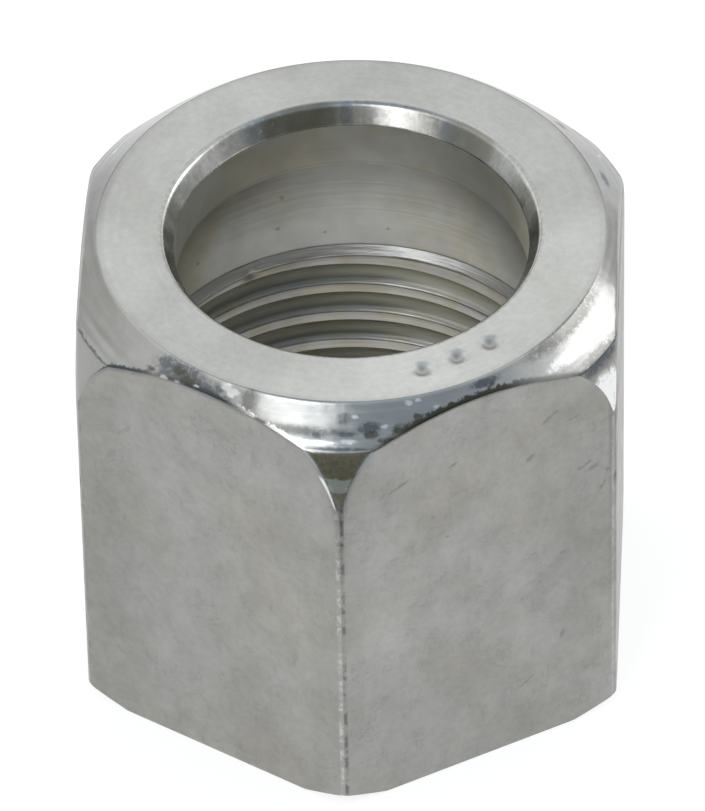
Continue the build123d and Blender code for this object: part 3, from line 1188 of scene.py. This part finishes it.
# What the metal reflects of the room
OVERHEAD = (0.42, 0.48, 0.54)
SIDE_WALL = (0.82, 0.83, 0.82)
FRONT_LOW = (0.17, 0.17, 0.145)
FRONT_SIDES = (0.52, 0.52, 0.51)
BACK_LOW = (0.64, 0.64, 0.62)
BACK_WALL = (1.04, 1.05, 1.03)

# The floor: its span each way, how far it lies below the nut, its glow and its grey
FLOOR_SPAN = (-3.0, 3.0)
FLOOR_GAP = 0.00002
FLOOR_GLOW = 0.8
FLOOR_GREY = (0.35, 0.35, 0.35, 1)


def studio_direction(azimuth, elevation=0):
    """A direction out from the nut. Azimuth is from the camera's side, to the right, in degrees."""
    about = CAMERA_AZIMUTH + radians(azimuth)
    rise = radians(elevation)
    return Vector((sin(about) * cos(rise), -cos(about) * cos(rise), sin(rise)))


def add_softbox(name, azimuth, elevation, width, height, radiance):
    """A rectangular lamp that faces the nut."""
    out = studio_direction(azimuth, elevation)
    data = bpy.data.lights.new(name, "AREA")
    data.shape = "RECTANGLE"
    data.size = width
    data.size_y = height
    data.energy = radiance * pi * width * height
    lamp = add_object(name, data)
    lamp.location = Vector((0, 0, HEIGHT / 2 * MM)) + out * SOFTBOX_DISTANCE
    lamp.rotation_euler = out.to_track_quat("Z", "Y").to_euler()


def add_sheet(name, origin, right, up, reach, rise):
    """A flat sheet that spans two ranges along two directions, and its material."""
    corners = [origin + right * reach[x] + up * rise[y] for x, y in ((0, 0), (1, 0), (1, 1), (0, 1))]
    mesh = bpy.data.meshes.new(name)
    mesh.from_pydata([tuple(corner) for corner in corners], [], [(0, 1, 2, 3)])
    material = bpy.data.materials.new(name)
    material.use_nodes = True
    mesh.materials.append(material)
    return add_object(name, mesh), material


def add_flag():
    """A dark card at the front, which only reflections see, as it would stand beside the lens."""
    centre = studio_direction(0) * FLAG_DISTANCE
    up = Vector((0, 0, 1))
    flag, material = add_sheet("flag", centre, studio_direction(90), up, FLAG_SIDES, FLAG_LEVELS)
    for kind in ("camera", "diffuse", "transmission", "shadow"):
        setattr(flag, "visible_" + kind, False)
    shader = material.node_tree.nodes["Principled BSDF"]
    shader.inputs["Base Color"].default_value = FLAG_COLOUR
    shader.inputs["Roughness"].default_value = 0.9
    shader.inputs["Specular IOR Level"].default_value = 0


def add_world():
    """A plain studio: pale behind and at the sides, blue-grey overhead, dim low in front."""
    world = bpy.data.worlds.new("studio")
    world.use_nodes = True
    bpy.context.scene.world = world
    nodes = Nodes(world.node_tree)
    out = nodes.add("ShaderNodeTexCoord").outputs["Generated"]
    front = nodes.vector("DOT_PRODUCT", {0: out, 1: tuple(studio_direction(0))})["Value"]
    side = nodes.vector("DOT_PRODUCT", {0: out, 1: tuple(studio_direction(90))})["Value"]
    up = nodes.parts(out)["Z"]
    ceiling = nodes.mix(nodes.step(side, -0.25, -0.50), OVERHEAD, SIDE_WALL)
    low = nodes.mix(nodes.step(front, 0.62, 0.42), FRONT_LOW, FRONT_SIDES)
    before = nodes.mix(nodes.step(up, 0.36, 0.66), low, ceiling)
    wall = nodes.mix(nodes.step(up, 0.30, 0.58), BACK_LOW, BACK_WALL)
    behind = nodes.mix(nodes.step(up, 0.80, 0.97), wall, OVERHEAD)
    studio = nodes.mix(nodes.step(front, 0.34, -0.05), before, behind)
    background = nodes.tree.nodes["Background"]
    nodes.tree.links.new(studio, background.inputs["Color"])
    background.inputs["Strength"].default_value = 1.0


def add_floor():
    """A pale floor, white where it is lit, that keeps the nut's soft shadow."""
    x, y = Vector((1, 0, 0)), Vector((0, 1, 0))
    floor, material = add_sheet("floor", Vector(), x, y, FLOOR_SPAN, FLOOR_SPAN)
    floor.location.z = -FLOOR_GAP
    nodes = Nodes(material.node_tree)
    nodes.tree.nodes.clear()
    path = nodes.add("ShaderNodeLightPath").outputs
    seen = nodes.most(path["Is Camera Ray"], path["Is Glossy Ray"], path["Is Transmission Ray"])
    glow = {"Color": (1, 1, 1, 1), "Strength": nodes.times(seen, FLOOR_GLOW)}
    emission = nodes.add("ShaderNodeEmission", glow).outputs[0]
    matt = nodes.add("ShaderNodeBsdfDiffuse", {"Color": FLOOR_GREY}).outputs[0]
    both = nodes.add("ShaderNodeAddShader", {0: emission, 1: matt}).outputs[0]
    nodes.add("ShaderNodeOutputMaterial", {"Surface": both})


add_camera()
for name, box in SOFTBOXES.items():
    add_softbox(name, *box)
add_flag()
add_world()
add_floor()
bpy.context.scene.view_settings.view_transform = "Standard"
